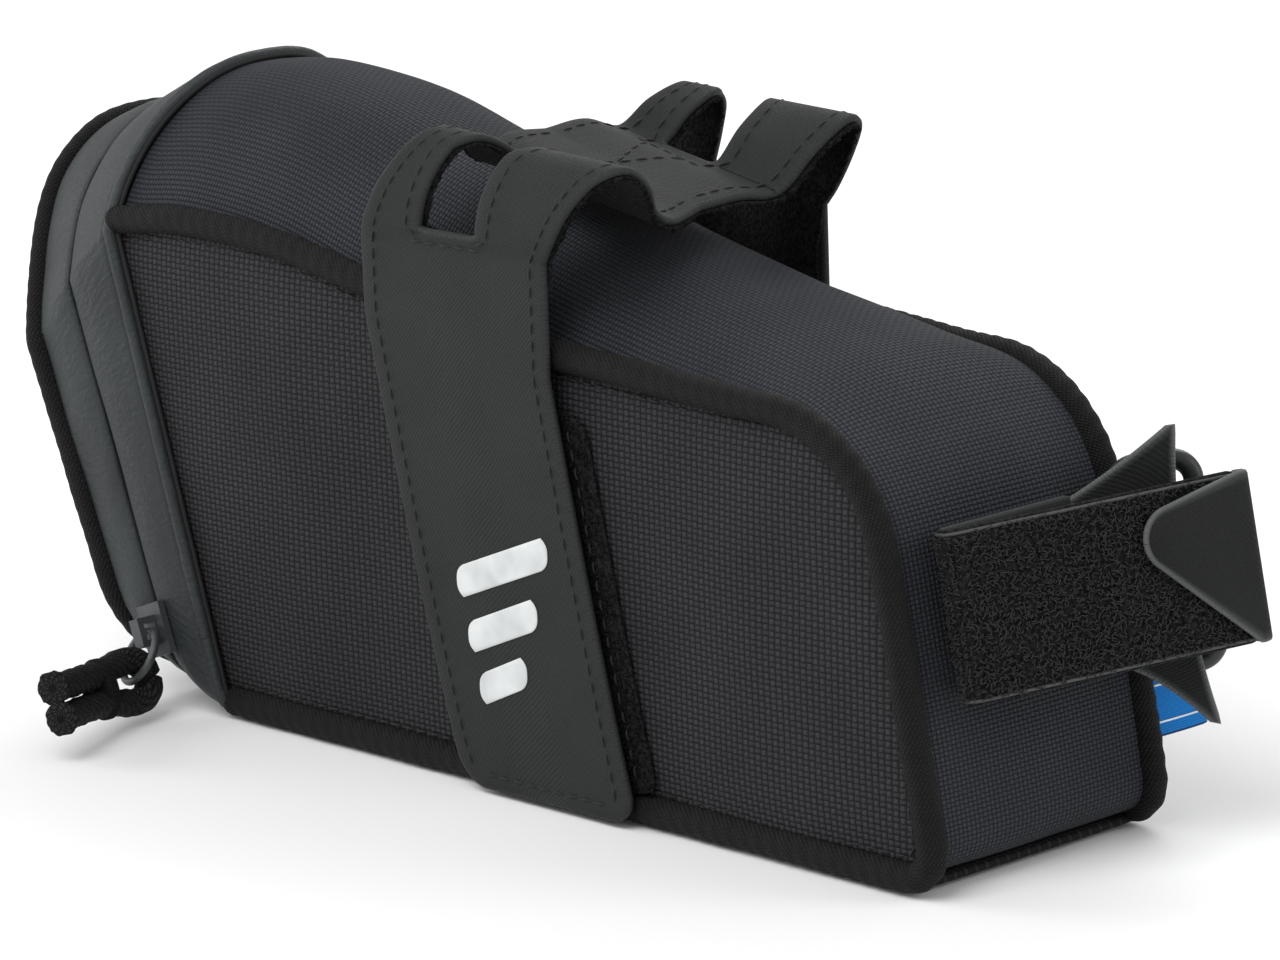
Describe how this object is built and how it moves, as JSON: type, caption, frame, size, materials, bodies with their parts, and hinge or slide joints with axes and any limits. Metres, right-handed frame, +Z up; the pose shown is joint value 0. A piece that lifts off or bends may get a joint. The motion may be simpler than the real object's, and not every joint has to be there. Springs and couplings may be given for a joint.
{
  "type": "saddle bag",
  "caption": "Wedge-shaped fabric bag that straps under a bicycle saddle, with a zipped rear lid, looped rail strap and seatpost strap with a ring.",
  "frame": {"origin": "centre of the flat base", "axes": "+X forward to the seatpost, +Y to the bag's left side, +Z up"},
  "size_m": [0.2347, 0.1039, 0.1065],
  "materials": {
    "side_fabric": "woven nylon, matte",
    "top_fabric": "woven nylon, matte",
    "coated_fabric": "smooth coated fabric, satin with fine grain",
    "piping": "fine woven bias binding",
    "strap_face": "smooth laminated strap face, black stitching",
    "hook_loop": "brushed hook-and-loop pile",
    "zip_tape": "coated zip tape",
    "zip_coil": "moulded coil",
    "slider_metal": "grey enamelled metal",
    "cord": "braided cord with melted ends",
    "ring_plastic": "moulded nylon, satin",
    "webbing": "ribbed webbing",
    "label_cloth": "woven blue label",
    "stiffener": "polyethylene board"
  },
  "bodies": {
    "bag": {"side_panel_right": "side_fabric", "side_panel_left": "side_fabric", "top_front_panel": "top_fabric", "base_panel": "side_fabric", "base_front_corner": "top_fabric", "base_stiffener": "stiffener", "piping_right": "piping", "piping_left": "piping", "rear_collar": "coated_fabric", "lid_hinge_tape": "zip_tape", "zip_tape_body": "zip_tape", "zip_coil_body": "zip_coil", "rail_strap_center": "strap_face", "loop_patch_right": "hook_loop", "loop_patch_left": "hook_loop", "post_strap_back": "strap_face", "strap_tab": "strap_face", "ring_keeper": "webbing", "side_label": "label_cloth"},
    "lid": {"lid_band": "coated_fabric", "lid_panel": "coated_fabric", "lid_piping": "piping", "zip_tape_lid": "zip_tape", "zip_coil_lid": "zip_coil", "light_loop": "webbing"},
    "slider": {"zip_slider": "slider_metal"},
    "pull": {"zip_bail": "slider_metal", "zip_cord_bight": "cord", "cord_wrap": "zip_tape", "zip_cord_upper": "cord", "zip_cord_lower": "cord"},
    "wing_right": {"rail_strap_right": "strap_face", "hook_patch_right": "hook_loop"},
    "wing_left": {"rail_strap_left": "strap_face", "hook_patch_left": "hook_loop"},
    "post_strap": {"post_strap_front": "hook_loop"},
    "post_tip": {"post_strap_tip": "strap_face"},
    "ring": {"strap_ring": "ring_plastic"}
  },
  "joints": [
    {"name": "lid_hinge", "type": "hinge", "parent": "bag", "child": "lid", "pos_m": [-0.09047, 0, 0.0024], "axis": [0, -1, 0], "range_deg": [0, 60]},
    {"name": "zip_slide", "type": "slide", "parent": "bag", "child": "slider", "axis": [-0.3483, 0, 0.9374], "range_m": [0, 0.05]},
    {"name": "pull_swing", "type": "hinge", "parent": "slider", "child": "pull", "pos_m": [-0.09456, -0.03656, 0.0134], "axis": [-0.9374, 0, -0.3483], "range_deg": [0, 90]},
    {"name": "wing_right_peel", "type": "hinge", "parent": "bag", "child": "wing_right", "pos_m": [-0.0183, -0.03157, 0.0864], "axis": [-0.9995, -0.0309, 0], "range_deg": [0, 110]},
    {"name": "wing_left_peel", "type": "hinge", "parent": "bag", "child": "wing_left", "pos_m": [-0.0183, 0.03157, 0.0864], "axis": [0.9995, -0.0309, 0], "range_deg": [0, 110]},
    {"name": "post_strap_swing", "type": "hinge", "parent": "bag", "child": "post_strap", "pos_m": [0.07524, -0.0152, 0.04116], "axis": [0.1908, 0, -0.9816], "range_deg": [0, 70]},
    {"name": "post_tip_peel", "type": "hinge", "parent": "post_strap", "child": "post_tip", "pos_m": [0.0936, 0.02771, 0.04473], "axis": [-0.1908, 0, 0.9816], "range_deg": [0, 150]},
    {"name": "ring_swing", "type": "hinge", "parent": "bag", "child": "ring", "pos_m": [0.07603, 0.0204, 0.04131], "axis": [-0.1908, 0, 0.9816], "range_deg": [0, 30]}
  ]
}
